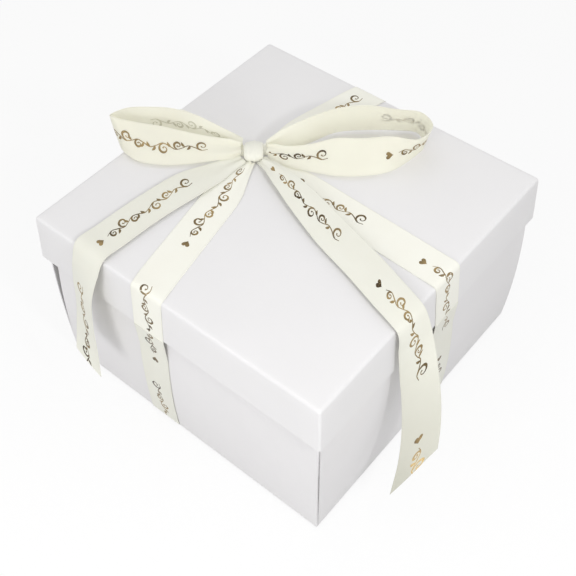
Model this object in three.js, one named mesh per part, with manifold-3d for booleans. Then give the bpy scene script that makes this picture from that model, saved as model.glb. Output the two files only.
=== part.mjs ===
// A square card gift box whose walls fall open when its lid is lifted, tied with a printed ribbon.
// Millimetres, +Z up. The origin is under the middle of the box, on the surface that it stands on.
// The front is -Y and the right-hand side is +X.

import * as THREE from "three";
import { mergeVertices } from "three/addons/utils/BufferGeometryUtils.js";
import Module from "manifold-3d";

// Box and card
const LID_WIDTH = 200; // across the lid's top
const BOX_HEIGHT = 125; // floor to the lid's top
const CARD = 1; // folded card
const FIT = 0.3; // between pieces that touch

// Ribbon
const RIBBON_WIDTH = 22;
const RIBBON_THICK = 0.5;

// Lid
const RIM_DEPTH = 32; // lid's top to its rim's lower edge
const RIM_FLARE = 1.8; // how far the rim leans out at its lower edge
const COLLAR_CARD = 2.2; // board of the collar glued inside the rim
const WALL_HOLD = 4; // how far the rim reaches down over the walls

// Falling walls
const WALL_SLACK = 2.1; // between a wall's top and the rim's inner face
const WALL_BOW = 2.4; // how far a wall swells out at half height
const CORNER_BOW = 0.5; // the same at the front corner, where two walls are drawn together
const CORNER_GAP_TOP = 5.5; // how far the front wall's left edge is drawn in at its top
const FOLD_GAP = FIT; // a crease, between a panel and the wall that folds from it

// Second layer, inside the first
const LAYER_STEP = 11; // from an outer wall's face to the inner wall's face
const INNER_WALL_HEIGHT = 88;

// Cards stuck on the walls
const MAT_CARD = 0.6;
const OUTER_MAT = { width: 168, height: 72, foot: 11 };
const INNER_MAT = { width: 144, height: 66, foot: 11 };

// Little box in the middle
const MINI_WIDTH = 60;
const MINI_HEIGHT = 50;
const MINI_RIM = 14;

// Where the ribbon crosses each edge of the lid and each foot, to the right as seen from outside
const RIBBON_AT = {
  front: { lid: -14, foot: -19 },
  right: { lid: 6.7, foot: 15.7 },
  back: { lid: 18, foot: 16 },
  left: { lid: -5, foot: -4 },
};
const PINCHED_WIDTH = 7; // ribbon gathered under the knot
const PINCH_END = 22; // from the knot's middle to where a ribbon is half way back to its width
const FLAT_REACH = 40; // from the knot's middle to where a ribbon is at its full width
const FOLD_LEAD = 11; // before the lid's edge, where a ribbon starts to turn to the rim

// Bow: headings are in degrees from +X, and a tail crosses the lid's edge at a place along it
const KNOT = { x: -37, y: 12, width: 13, length: 14, height: 8, turn: 40, rounding: 0.7, flattened: 0.75 };
const LEFT_LOOP = { length: 81, heading: 209 };
const RIGHT_LOOP = { length: 99, heading: 43 };
const LEFT_TAIL = { side: "front", crossing: -56.5, drop: 72, cut: { left: 0, right: 0.03 } };
const RIGHT_TAIL = { side: "right", crossing: -29, drop: 88, cut: { left: 0.09, right: 0 } };

// Segments of the bent pieces
const WALL_STEPS = 10;
const WALL_COLUMNS = 8;
const MAT_COLUMNS = 6;
const LEG_STEPS = 12;
const LOOP_STEPS = 44;
const TAIL_STEPS = 30;
const LID_RIBBON_STEPS = 36;

// Sizes that follow from those above
const LID_HALF = LID_WIDTH / 2;
const BASE_Z = RIBBON_THICK + FIT;
const RIM_Z = BOX_HEIGHT - RIM_DEPTH;
const WALL_TOP_Z = RIM_Z + WALL_HOLD;
const WALL_HEIGHT = WALL_TOP_Z - BASE_Z;
const RIM_AT_WALL_TOP = LID_HALF + RIM_FLARE * (1 - WALL_HOLD / RIM_DEPTH);
const WALL_FACE = RIM_AT_WALL_TOP - CARD - WALL_SLACK;
const INNER_FACE = WALL_FACE - LAYER_STEP;
const INNER_Z = BASE_Z + CARD + FIT;
const LID_RIBBON_Z = BOX_HEIGHT + FIT;
const BOW_Z = LID_RIBBON_Z + RIBBON_THICK + FIT;
const HALF_RIBBON = RIBBON_WIDTH / 2;
const KNOT_REACH = (PINCHED_WIDTH / 2 + FIT) / Math.tan(Math.PI / 5);

const SIDES = ["front", "right", "back", "left"];
const UP = new THREE.Vector3(0, 0, 1);

const COLOURS = {
  card: 0xf1efef,
  board: 0xe6e1da,
  mat: 0xece2cf,
  print: 0xd9cfc4,
  ribbon: 0xf4f3e2,
  mini: 0xf0ebe0,
};

const wasm = await Module();
wasm.setup();

const box = new THREE.Group();

function addPiece(name, geometry, colour, parent = box) {
  const roughness = colour === COLOURS.ribbon ? 0.45 : 0.7;
  const material = new THREE.MeshStandardMaterial({ color: colour, roughness, metalness: 0 });
  const mesh = new THREE.Mesh(geometry, material);
  mesh.name = name;
  parent.add(mesh);
  return mesh;
}

// A group turned so that its -Y looks out of the given side.
function sideGroup(side) {
  const group = new THREE.Group();
  group.rotation.z = (SIDES.indexOf(side) * Math.PI) / 2;
  box.add(group);
  return group;
}

function moveVertices(geometry, move) {
  const position = geometry.getAttribute("position");
  const point = new THREE.Vector3();
  for (let i = 0; i < position.count; i += 1) {
    point.fromBufferAttribute(position, i);
    move(point);
    position.setXYZ(i, point.x, point.y, point.z);
  }
  geometry.computeVertexNormals();
  return geometry;
}

function toSolid(geometry) {
  const bare = geometry.clone();
  bare.deleteAttribute("normal");
  bare.deleteAttribute("uv");
  const merged = mergeVertices(bare, 1e-5);
  return new wasm.Manifold(
    new wasm.Mesh({
      numProp: 3,
      vertProperties: new Float32Array(merged.getAttribute("position").array),
      triVerts: new Uint32Array(merged.index.array),
    }),
  );
}

function toGeometry(solid) {
  const mesh = solid.getMesh();
  const points = new Float32Array(mesh.vertProperties);
  const corners = new Uint32Array(mesh.triVerts);
  const geometry = new THREE.BufferGeometry();
  geometry.setAttribute("position", new THREE.BufferAttribute(points, 3));
  geometry.setIndex(new THREE.BufferAttribute(corners, 1));
  geometry.computeVertexNormals();
  return geometry;
}

// A block between two heights, with its sides leaning out by lean at the bottom.
function block(halfWidth, low, high, lean = 0) {
  const geometry = new THREE.BoxGeometry(2 * halfWidth, 2 * halfWidth, high - low);
  geometry.translate(0, 0, (low + high) / 2);
  const grow = 1 + lean / halfWidth;
  return moveVertices(geometry, (p) => {
    if (p.z < (low + high) / 2) {
      p.x *= grow;
      p.y *= grow;
    }
  });
}

function hollow(outer, inner) {
  return toGeometry(toSolid(outer).subtract(toSolid(inner)));
}

// How far a wall's outer face stands out at a height, for a share across it from left 0 to right 1.
function bowAt(height, across, corners) {
  const edge = across < 0.5 ? corners.left : corners.right;
  const middle = 1 - (2 * across - 1) ** 2;
  const swell = edge + (WALL_BOW - edge) * Math.sqrt(middle);
  const t = THREE.MathUtils.clamp(height / WALL_HEIGHT, 0, 1);
  return swell * 4 * t * (1 - t);
}

// A sheet that stands on z = 0 with its outer face on y = 0, then bent out by bend(x, z).
function standingSheet(left, right, height, thickness, stepsAcross, bend) {
  const geometry = new THREE.BoxGeometry(right - left, thickness, height, stepsAcross, 1, WALL_STEPS);
  geometry.translate((left + right) / 2, thickness / 2, height / 2);
  return moveVertices(geometry, (p) => {
    p.y -= bend(p.x, p.z);
  });
}

// Each wall stops short at its left end and laps the next wall's edge at its right end.
function wallEnds(face) {
  return { left: -(face - CARD - FIT), right: face };
}

function outerCorners(side) {
  return {
    left: side === "right" ? CORNER_BOW : WALL_BOW,
    right: side === "front" ? CORNER_BOW : WALL_BOW,
  };
}

// A box's upper and lower faces are split along opposite diagonals, which cross where a ribbon twists.
// Here each square of the lower face, four corners in order, is split the way the upper one is.
function matchLowerDiagonals(geometry) {
  const LOWER_FACE = 3;
  const { start, count } = geometry.groups[LOWER_FACE];
  const index = geometry.getIndex();
  for (let i = start; i < start + count; i += 6) {
    const [a, b, d] = [index.getX(i), index.getX(i + 1), index.getX(i + 2)];
    const c = index.getX(i + 4);
    [a, b, c, a, c, d].forEach((corner, k) => index.setX(i + k, corner));
  }
}

// A ribbon along a curve: each station has its middle and the vector from there to its right edge.
// A cut shortens the far end by a share of the length, at the left edge and at the right one.
function ribbon(stations, steps, cut = { left: 0, right: 0 }) {
  const middlePoints = stations.map((s) => new THREE.Vector3(...s.at));
  const edgeVectors = stations.map((s) => new THREE.Vector3(...s.edge));
  const middles = new THREE.CatmullRomCurve3(middlePoints, false, "centripetal");
  const edges = new THREE.CatmullRomCurve3(edgeVectors, false, "catmullrom");
  const geometry = new THREE.BoxGeometry(1, 1, 1, 2, 1, steps);
  matchLowerDiagonals(geometry);
  const nudge = 1e-3;
  return moveVertices(geometry, (p) => {
    const shorter = cut.left * (0.5 - p.x) + cut.right * (0.5 + p.x);
    const along = (p.z + 0.5) * (1 - shorter);
    const middle = middles.getPoint(along);
    const edge = edges.getPoint(along);
    const after = middles.getPoint(Math.min(along + nudge, 1));
    const before = middles.getPoint(Math.max(along - nudge, 0));
    const normal = after.sub(before).cross(edge).normalize();
    const [sideways, through] = [2 * p.x, RIBBON_THICK * p.y];
    p.copy(middle).addScaledVector(edge, sideways).addScaledVector(normal, through);
  });
}

// Floor panels
const baseHalf = WALL_FACE - CARD - FOLD_GAP;
const innerHalf = INNER_FACE - CARD - FOLD_GAP;
addPiece("base_panel", block(baseHalf, BASE_Z, BASE_Z + CARD), COLOURS.card);
addPiece("inner_base", block(innerHalf, INNER_Z, INNER_Z + CARD), COLOURS.mat);

// The ribbon under the box: two strips that cross
function undersideStrip(start, end) {
  const run = new THREE.Vector2(end[0] - start[0], end[1] - start[1]);
  const geometry = new THREE.BoxGeometry(run.length(), RIBBON_WIDTH, RIBBON_THICK);
  geometry.rotateZ(run.angle());
  geometry.translate((start[0] + end[0]) / 2, (start[1] + end[1]) / 2, RIBBON_THICK / 2);
  return geometry;
}

const undersideReach = baseHalf;
const acrossStrip = undersideStrip(
  [-undersideReach, -RIBBON_AT.left.foot],
  [undersideReach, RIBBON_AT.right.foot],
);
const alongStrip = undersideStrip(
  [RIBBON_AT.front.foot, -undersideReach],
  [-RIBBON_AT.back.foot, undersideReach],
);
const crossedStrips = toSolid(acrossStrip).add(toSolid(alongStrip));
addPiece("ribbon_underside", toGeometry(crossedStrips), COLOURS.ribbon);

// Outer walls, the cards stuck on them and the ribbon that comes down them
for (const side of SIDES) {
  const group = sideGroup(side);
  const ends = wallEnds(WALL_FACE);
  const corners = outerCorners(side);
  const bow = (x, z) => bowAt(z, (x - ends.left) / (ends.right - ends.left), corners);

  const wall = standingSheet(ends.left, ends.right, WALL_HEIGHT, CARD, WALL_COLUMNS, bow);
  if (side === "front") {
    moveVertices(wall, (p) => {
      const share = (ends.right - p.x) / (ends.right - ends.left);
      p.x += CORNER_GAP_TOP * share * (p.z / WALL_HEIGHT);
    });
  }
  wall.translate(0, -WALL_FACE, BASE_Z);
  addPiece(`wall_${side}`, wall, COLOURS.card, group);

  const matHalf = OUTER_MAT.width / 2;
  const matBow = (x, z) => bow(x, z + OUTER_MAT.foot);
  const mat = standingSheet(-matHalf, matHalf, OUTER_MAT.height, MAT_CARD, MAT_COLUMNS, matBow);
  mat.translate(0, CARD + FIT - WALL_FACE, BASE_Z + OUTER_MAT.foot);
  addPiece(`wall_card_${side}`, mat, COLOURS.mat, group);

  const { lid, foot } = RIBBON_AT[side];
  const legTop = RIM_Z - FIT;
  const rimOut = LID_HALF + RIM_FLARE + FIT - WALL_FACE;
  const legHeight = legTop - BASE_Z;
  const leg = new THREE.BoxGeometry(RIBBON_WIDTH, RIBBON_THICK, legHeight, 2, 1, LEG_STEPS);
  leg.translate(0, -RIBBON_THICK / 2, legHeight / 2);
  moveVertices(leg, (p) => {
    const middle = foot + ((lid - foot) * (p.z + BASE_Z)) / BOX_HEIGHT;
    const bridged = rimOut * (p.z / legHeight) ** 2;
    p.x += middle;
    p.y -= Math.max(bow(middle, p.z) + FIT, bridged);
  });
  leg.translate(0, -WALL_FACE, BASE_Z);
  addPiece(`wall_ribbon_${side}`, leg, COLOURS.ribbon, group);
}

// Inner walls and their cards
for (const side of SIDES) {
  const group = sideGroup(side);
  const ends = wallEnds(INNER_FACE);
  const flat = () => 0;
  const wall = standingSheet(ends.left, ends.right, INNER_WALL_HEIGHT, CARD, 1, flat);
  wall.translate(0, -INNER_FACE, INNER_Z);
  addPiece(`inner_wall_${side}`, wall, COLOURS.mat, group);

  const matHalf = INNER_MAT.width / 2;
  const mat = standingSheet(-matHalf, matHalf, INNER_MAT.height, MAT_CARD, 1, flat);
  mat.translate(0, CARD + FIT - INNER_FACE, INNER_Z + INNER_MAT.foot);
  addPiece(`inner_card_${side}`, mat, COLOURS.print, group);
}

// Little box with a lid of its own
const miniHalf = MINI_WIDTH / 2;
const miniLow = INNER_Z + CARD + FIT;
const miniHigh = miniLow + MINI_HEIGHT;
const miniBody = hollow(
  block(miniHalf, miniLow, miniHigh),
  block(miniHalf - CARD, miniLow + CARD, miniHigh + CARD),
);
addPiece("mini_box_body", miniBody, COLOURS.mini);

const miniLidHalf = miniHalf + FIT + CARD;
const miniLid = hollow(
  block(miniLidHalf, miniHigh + FIT + CARD - MINI_RIM, miniHigh + FIT + CARD),
  block(miniHalf + FIT, miniHigh - MINI_RIM, miniHigh + FIT),
);
addPiece("mini_box_lid", miniLid, COLOURS.mini);

// Lid: a folded shell with a flared rim, and the collar that rests on the walls
const lidShell = hollow(
  block(LID_HALF, RIM_Z, BOX_HEIGHT, RIM_FLARE),
  block(LID_HALF - CARD, RIM_Z - CARD, BOX_HEIGHT - CARD, RIM_FLARE),
);
addPiece("lid_shell", lidShell, COLOURS.card);

const collarOuter = LID_HALF - CARD - FIT;
const collarLow = WALL_TOP_Z + FIT;
const collarHigh = BOX_HEIGHT - CARD - FIT;
const collar = hollow(
  block(collarOuter, collarLow, collarHigh),
  block(collarOuter - COLLAR_CARD, collarLow - CARD, collarHigh + CARD),
);
addPiece("lid_collar", collar, COLOURS.board);

// The ribbon over the lid: four lengths that run out from the knot and over the rim
for (const side of SIDES) {
  const turn = (SIDES.indexOf(side) * Math.PI) / 2;
  const knot = new THREE.Vector3(KNOT.x, KNOT.y, 0).applyAxisAngle(UP, -turn);
  const { lid, foot } = RIBBON_AT[side];
  const edge = new THREE.Vector3(lid, -LID_HALF, 0);
  const out = edge.clone().sub(knot);
  const reach = out.length();
  out.normalize();
  const width = out.clone().cross(UP).negate();
  const z = LID_RIBBON_Z + RIBBON_THICK / 2;
  const station = (distance, halfWidth) => ({
    at: [knot.x + out.x * distance, knot.y + out.y * distance, z],
    edge: width.clone().multiplyScalar(halfWidth).toArray(),
  });
  const foldRadius = FIT + RIBBON_THICK / 2;
  const roundFold = (angle) => ({
    at: [lid, -LID_HALF - foldRadius * Math.sin(angle), BOX_HEIGHT + foldRadius * Math.cos(angle)],
    edge: [HALF_RIBBON, 0, 0],
  });
  const overRim = (drop) => {
    const x = lid - ((lid - foot) * drop) / BOX_HEIGHT;
    const flare = RIM_FLARE * (drop / RIM_DEPTH);
    return { at: [x, -LID_HALF - flare - foldRadius, BOX_HEIGHT - drop], edge: [HALF_RIBBON, 0, 0] };
  };
  const stations = [
    station(KNOT_REACH, PINCHED_WIDTH / 2),
    station(PINCH_END, (HALF_RIBBON + PINCHED_WIDTH / 2) / 2),
    station(FLAT_REACH, HALF_RIBBON),
    station(reach - FOLD_LEAD, HALF_RIBBON),
    roundFold(-Math.PI / 8),
    roundFold(Math.PI / 8),
    roundFold((3 * Math.PI) / 8),
    overRim(1),
    overRim(RIM_DEPTH / 2),
    overRim(RIM_DEPTH),
  ];
  addPiece(`lid_ribbon_${side}`, ribbon(stations, LID_RIBBON_STEPS), COLOURS.ribbon, sideGroup(side));
}

// Knot: a small cushion of ribbon, flattened underneath where the gathered lengths run in
const knotShape = new THREE.SphereGeometry(1, 18, 12);
moveVertices(knotShape, (p) => {
  const square = (v) => Math.sign(v) * Math.abs(v) ** KNOT.rounding;
  const up = Math.max(square(p.z), -KNOT.flattened);
  p.set(square(p.x) * (KNOT.width / 2), square(p.y) * (KNOT.length / 2), up * (KNOT.height / 2));
});
knotShape.rotateZ(THREE.MathUtils.degToRad(KNOT.turn));
knotShape.translate(KNOT.x, KNOT.y, BOW_Z + (KNOT.flattened * KNOT.height) / 2);
addPiece("bow_knot", knotShape, COLOURS.ribbon);

// Loops of the bow. Each row is a station: along the loop and across it as shares of its length, then
// in half widths of ribbon its lower edge's height over the ribbons on the lid and the vector from its
// middle to its upper edge: along the loop, across it and up.
function loopStations(rows, { length, heading }) {
  const angle = THREE.MathUtils.degToRad(heading);
  const turned = (x, y, z) => new THREE.Vector3(x, y, z).applyAxisAngle(UP, angle);
  return rows.map(([along, across, lift, edgeAlong, edgeAcross, edgeUp]) => {
    const edge = turned(edgeAlong, edgeAcross, edgeUp).multiplyScalar(HALF_RIBBON);
    const at = turned(along, across, 0).multiplyScalar(length);
    at.add(new THREE.Vector3(KNOT.x, KNOT.y, BOW_Z + lift * HALF_RIBBON + edge.z));
    return { at: at.toArray(), edge: edge.toArray() };
  });
}

const leftLoopRows = [
  [0.092, 0.012, 0.191, 0.03, -0.2, 0.26],
  [0.16, 0.04, 0.164, 0.06, -0.35, 0.37],
  [0.293, 0.07, 0.136, 0.09, -0.44, 0.45],
  [0.469, 0.107, 0.1, 0.12, -0.58, 0.6],
  [0.649, 0.127, 0.1, 0.13, -0.7, 0.71],
  [0.828, 0.122, 0.118, 0.14, -0.65, 0.74],
  [0.959, 0.098, 0.1, 0.12, -0.14, 0.98],
  [1.005, 0.028, 0.045, 0.06, 0.15, 0.98],
  [0.917, -0.044, 0.036, 0.02, 0.07, 1],
  [0.764, -0.079, 0.055, 0.01, 0.06, 1],
  [0.603, -0.089, 0.064, 0.02, 0.05, 1],
  [0.419, -0.064, 0.064, 0.03, 0, 0.93],
  [0.255, -0.06, 0.082, 0.03, -0.13, 0.56],
  [0.15, -0.045, 0.145, 0.03, -0.16, 0.37],
  [0.088, -0.036, 0.191, 0.02, -0.16, 0.26],
];
const rightLoopRows = [
  [0.077, -0.022, 0.191, 0.01, 0.2, 0.26],
  [0.12, -0.046, 0.136, 0.01, 0.33, 0.34],
  [0.195, -0.08, 0.1, 0.02, 0.37, 0.38],
  [0.322, -0.116, 0.082, 0.03, 0.49, 0.51],
  [0.459, -0.141, 0.1, 0.04, 0.67, 0.68],
  [0.61, -0.156, 0.118, 0.04, 0.67, 0.68],
  [0.77, -0.172, 0.1, -0.02, 0.26, 0.96],
  [0.925, -0.122, 0.045, -0.03, -0.37, 0.93],
  [1.005, -0.032, 0.036, 0.1, -0.3, 0.94],
  [0.97, 0.084, 0.036, 0, -0.29, 0.95],
  [0.839, 0.118, 0.036, -0.04, -0.27, 0.96],
  [0.667, 0.146, 0.036, -0.04, -0.16, 0.99],
  [0.49, 0.136, 0.036, -0.04, -0.18, 0.98],
  [0.306, 0.073, 0.082, -0.02, 0.1, 0.78],
  [0.15, 0.034, 0.145, 0.01, 0.17, 0.5],
  [0.074, 0.022, 0.191, 0.01, 0.12, 0.26],
];
addPiece("bow_loop_left", ribbon(loopStations(leftLoopRows, LEFT_LOOP), LOOP_STEPS), COLOURS.ribbon);
addPiece("bow_loop_right", ribbon(loopStations(rightLoopRows, RIGHT_LOOP), LOOP_STEPS), COLOURS.ribbon);

// Tails. On the lid, a row starts with the share of the way from the knot to the lid's edge, how far to
// the left of that line, as a share of its length, and how high over the ribbons on the lid, in half
// widths of ribbon. Past the edge, it starts with out, along the edge and down, as shares of the drop.
// The rest of a row is the vector from the middle to the right edge, in half widths: x, y and up.
function tailStations(onLid, hanging, { side, crossing, drop }) {
  const place = (out, along, z) => (side === "front" ? [along, -out, z] : [out, along, z]);
  const knot = new THREE.Vector3(KNOT.x, KNOT.y, 0);
  const run = new THREE.Vector3(...place(LID_HALF, crossing, 0)).sub(knot);
  const left = UP.clone().cross(run);
  const half = (edge) => edge.map((v) => v * HALF_RIBBON);
  const flat = onLid.map(([share, aside, lift, ...edge]) => {
    const at = knot.clone().addScaledVector(run, share).addScaledVector(left, aside);
    return { at: [at.x, at.y, BOW_Z + RIBBON_THICK / 2 + lift * HALF_RIBBON], edge: half(edge) };
  });
  const falling = hanging.map(([out, along, down, ...edge]) => ({
    at: place(LID_HALF + out * drop, crossing + along * drop, BOX_HEIGHT - down * drop),
    edge: half(edge),
  }));
  return [...flat, ...falling];
}

const leftTailOnLid = [
  [0.064, -0.014, 0.027, -0.3, 0.09, 0],
  [0.13, -0.023, 0.023, -0.45, 0.12, 0],
  [0.22, -0.029, 0.023, -0.69, 0.2, 0],
  [0.384, -0.046, 0.077, -0.96, 0.24, 0],
  [0.615, -0.043, 0.077, -0.99, 0.13, 0],
  [0.861, -0.018, 0.077, -1, 0.05, 0],
  [0.991, -0.002, 0.041, -1, 0.04, 0.02],
];
const leftTailHanging = [
  [0.065, 0.006, 0.083, -0.99, 0.11, 0],
  [0.13, -0.006, 0.292, -0.96, 0.27, 0],
  [0.178, 0.01, 0.542, -0.95, 0.31, 0],
  [0.243, 0.047, 0.778, -0.98, 0.18, 0],
  [0.324, 0.098, 1, -1, 0.05, 0],
];
const rightTailOnLid = [
  [0.056, 0, 0.173, -0.05, -0.27, 0],
  [0.09, 0.008, 0.218, -0.06, -0.4, 0],
  [0.165, 0.01, 0.277, -0.04, -0.6, 0],
  [0.335, 0.01, 0.241, -0.2, -0.82, 0],
  [0.531, 0.006, 0.15, -0.25, -0.95, 0],
  [0.735, 0.008, 0.132, -0.24, -0.97, 0],
  [0.897, 0.002, 0.15, -0.25, -0.96, 0],
  [0.978, 0.001, 0.123, -0.15, -0.98, 0],
];
const rightTailHanging = [
  [0.025, -0.005, -0.014, -0.11, -0.97, 0],
  [0.055, -0.011, 0.04, -0.16, -0.96, 0],
  [0.091, -0.023, 0.159, -0.38, -0.88, 0],
  [0.152, -0.057, 0.341, -0.62, -0.66, -0.22],
  [0.223, -0.108, 0.517, -0.74, -0.55, -0.2],
  [0.293, -0.188, 0.682, -0.74, -0.52, -0.28],
  [0.352, -0.295, 0.824, -0.74, -0.46, -0.38],
  [0.4, -0.43, 1, -0.79, -0.36, -0.42],
];
const leftTail = ribbon(tailStations(leftTailOnLid, leftTailHanging, LEFT_TAIL), TAIL_STEPS, LEFT_TAIL.cut);
const rightTail = ribbon(
  tailStations(rightTailOnLid, rightTailHanging, RIGHT_TAIL),
  TAIL_STEPS,
  RIGHT_TAIL.cut,
);
addPiece("ribbon_tail_left", leftTail, COLOURS.ribbon);
addPiece("ribbon_tail_right", rightTail, COLOURS.ribbon);

export default box;
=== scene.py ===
# A white card gift box that falls open, tied with a cream satin ribbon, dressed round the packed
# model. Lengths are millimetres in the part's frame until a mesh is made, and metres in Blender.

import math

import bpy
import numpy as np
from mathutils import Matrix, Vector


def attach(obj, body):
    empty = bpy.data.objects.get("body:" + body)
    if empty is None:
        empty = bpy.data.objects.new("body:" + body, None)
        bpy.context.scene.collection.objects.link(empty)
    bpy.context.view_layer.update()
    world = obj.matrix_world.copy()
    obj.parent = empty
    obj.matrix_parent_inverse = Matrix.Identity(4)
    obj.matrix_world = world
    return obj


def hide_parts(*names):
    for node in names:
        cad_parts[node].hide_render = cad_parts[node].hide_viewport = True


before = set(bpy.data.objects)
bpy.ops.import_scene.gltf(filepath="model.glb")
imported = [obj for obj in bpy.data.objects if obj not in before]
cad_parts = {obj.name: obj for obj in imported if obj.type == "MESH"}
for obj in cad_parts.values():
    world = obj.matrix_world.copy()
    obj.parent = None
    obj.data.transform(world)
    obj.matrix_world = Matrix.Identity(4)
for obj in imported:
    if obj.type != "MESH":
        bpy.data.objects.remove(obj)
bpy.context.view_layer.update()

MM = 0.001
SIDES = ["front", "right", "back", "left"]

# Sizes of the part, as in its source
LID_HALF = 100.0
BOX_HEIGHT = 125.0
CARD = 1.0
FIT = 0.3
RIBBON_WIDTH = 22.0
RIBBON_THICK = 0.5
HALF_RIBBON = RIBBON_WIDTH / 2
RIM_DEPTH = 32.0
RIM_FLARE = 1.8
WALL_BOW = 2.4
CORNER_BOW = 0.5
WALL_HOLD = 4.0
WALL_SLACK = 2.1
BASE_Z = RIBBON_THICK + FIT
RIM_Z = BOX_HEIGHT - RIM_DEPTH
WALL_TOP_Z = RIM_Z + WALL_HOLD
WALL_HEIGHT = WALL_TOP_Z - BASE_Z
WALL_FACE = LID_HALF + RIM_FLARE * (1 - WALL_HOLD / RIM_DEPTH) - CARD - WALL_SLACK
LID_RIBBON_Z = BOX_HEIGHT + FIT
BOW_Z = LID_RIBBON_Z + RIBBON_THICK + FIT
RIBBON_AT = {  # where the ribbon crosses the lid's edge and where it reaches the wall's foot
    "front": (-14.0, -19.0),
    "right": (6.7, 15.7),
    "back": (18.0, 16.0),
    "left": (-5.0, -4.0),
}
KNOT = np.array([-37.0, 12.0])
LEFT_LOOP = {"length": 81.0, "heading": 209.0}
RIGHT_LOOP = {"length": 99.0, "heading": 43.0}
LEFT_TAIL = {"side": "front", "crossing": -56.5, "drop": 72.0}
RIGHT_TAIL = {"side": "right", "crossing": -29.0, "drop": 88.0}

# Cloth as it is dressed
SATIN_THICK = 0.3
RIBBON_LIE = 0.12  # from the lid up to the ribbon that lies on it
RIBBON_LAP = 2.0  # how far a lid ribbon hangs past the rim, over the wall's ribbon
FOOT_CLEAR = 0.8  # from a wall's fold to its ribbon's end

# Lid as it is folded
LID_CARD = 0.9
LID_FOLD = 2.0  # radius of the fold between the top and the rim
LID_CORNER = 1.6

# Camera, at the photograph's angle: lens in millimetres, place in metres, turn in radians
CAMERA_LENS = 60.2059
CAMERA_PLACE = (0.24326, -0.28987, 0.50816)
CAMERA_TURN = (0.684875, 0.011969, 0.689776)


def make_camera():
    data = bpy.data.cameras.new("camera")
    data.lens = CAMERA_LENS
    data.sensor_width = 36
    data.clip_start = 0.01
    data.clip_end = 50
    camera = bpy.data.objects.new("camera", data)
    camera.location = CAMERA_PLACE
    camera.rotation_euler = CAMERA_TURN
    bpy.context.scene.collection.objects.link(camera)
    bpy.context.scene.camera = camera
    bpy.context.scene.view_settings.view_transform = "Standard"


make_camera()


# Materials
class Nodes:
    """A node tree being built, with short names for adding nodes and links."""

    def __init__(self, name):
        self.material = bpy.data.materials.new(name)
        self.material.use_nodes = True
        self.tree = self.material.node_tree
        self.shader = self.tree.nodes["Principled BSDF"]
        self.output = self.tree.nodes["Material Output"]

    @classmethod
    def reopen(cls, material):
        """The tree of a finished material, to add to it."""
        self = cls.__new__(cls)
        self.material = material
        self.tree = material.node_tree
        self.shader = self.tree.nodes["Principled BSDF"]
        self.output = self.tree.nodes["Material Output"]
        return self

    def add(self, kind, **values):
        node = self.tree.nodes.new(kind)
        for key, value in values.items():
            if hasattr(node, key):
                setattr(node, key, value)
            else:
                node.inputs[key.replace("_", " ")].default_value = value
        return node

    def link(self, output, socket):
        self.tree.links.new(output, socket)

    def set(self, **values):
        for key, value in values.items():
            self.shader.inputs[key.replace("_", " ")].default_value = value

    def object_coordinates(self):
        return self.add("ShaderNodeTexCoord").outputs["Object"]

    def attribute(self, name):
        return self.add("ShaderNodeAttribute", attribute_name=name).outputs["Vector"]

    def noise(self, vector, scale, detail=2.0, roughness=0.5):
        node = self.add("ShaderNodeTexNoise", Scale=scale, Detail=detail, Roughness=roughness)
        self.link(vector, node.inputs["Vector"])
        return node.outputs["Fac"]

    def math(self, operation, a, b=None, clamp=False):
        node = self.add("ShaderNodeMath", operation=operation, use_clamp=clamp)
        for socket, value in zip(node.inputs, (a, b)):
            if value is None:
                continue
            if isinstance(value, (int, float)):
                socket.default_value = value
            else:
                self.link(value, socket)
        return node.outputs[0]

    def ramp(self, value, low, high, low_to=0.0, high_to=1.0):
        node = self.add("ShaderNodeMapRange")
        node.inputs["From Min"].default_value = low
        node.inputs["From Max"].default_value = high
        node.inputs["To Min"].default_value = low_to
        node.inputs["To Max"].default_value = high_to
        self.link(value, node.inputs["Value"])
        return node.outputs["Result"]

    def mix(self, factor, a, b):
        node = self.add("ShaderNodeMix", data_type="RGBA")
        self.link(factor, node.inputs[0])
        for socket, value in zip(node.inputs[6:8], (a, b)):
            if isinstance(value, tuple):
                socket.default_value = (*value, 1.0)
            else:
                self.link(value, socket)
        return node.outputs[2]

    def bump(self, height, distance, strength=1.0, normal=None):
        node = self.add("ShaderNodeBump", Strength=strength, Distance=distance)
        self.link(height, node.inputs["Height"])
        if normal is not None:
            self.link(normal, node.inputs["Normal"])
        return node.outputs["Normal"]

    def finish(self, colour, roughness, normal=None):
        for value, name in ((colour, "Base Color"), (roughness, "Roughness"), (normal, "Normal")):
            if value is None:
                continue
            if isinstance(value, float):
                self.shader.inputs[name].default_value = value
            else:
                self.link(value, self.shader.inputs[name])
        return self.material


def card_material(name, light, dark, roughness, fibre=0.5, wave=0.0):
    """Card: faint clouds, pale fibres, the sheet's fine tooth and, with wave, a gentle buckle."""
    n = Nodes(name)
    at = n.object_coordinates()
    cloud = n.noise(at, 22.0, 3.0)
    fine = n.noise(at, 900.0, 2.0)
    tooth = n.noise(at, 2600.0, 2.0, 0.6)
    tone = n.mix(n.ramp(cloud, 0.3, 0.7), dark, light)
    tone = n.mix(n.ramp(fine, 0.45, 0.75, 0.0, 0.35), tone, light)
    rough = n.ramp(fine, 0.2, 0.8, roughness - 0.05, roughness + 0.06)
    bumps = n.bump(tooth, 0.00003, fibre)
    bumps = n.bump(fine, 0.00006, fibre, bumps)
    if wave:
        bumps = n.bump(n.noise(at, 14.0, 1.0), wave, 1.0, bumps)
    n.set(Specular_IOR_Level=0.2)
    return n.finish(tone, rough, bumps)


# The printed frame on the cards inside: each line's distance from the edge and half its width
FRAME_LINES = ((5.0, 0.55), (7.0, 0.2))
FRAME_BLUR = 0.12
DOTS_FROM_EDGE = 9.0
DOTS_FADE_IN = 0.3


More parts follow.
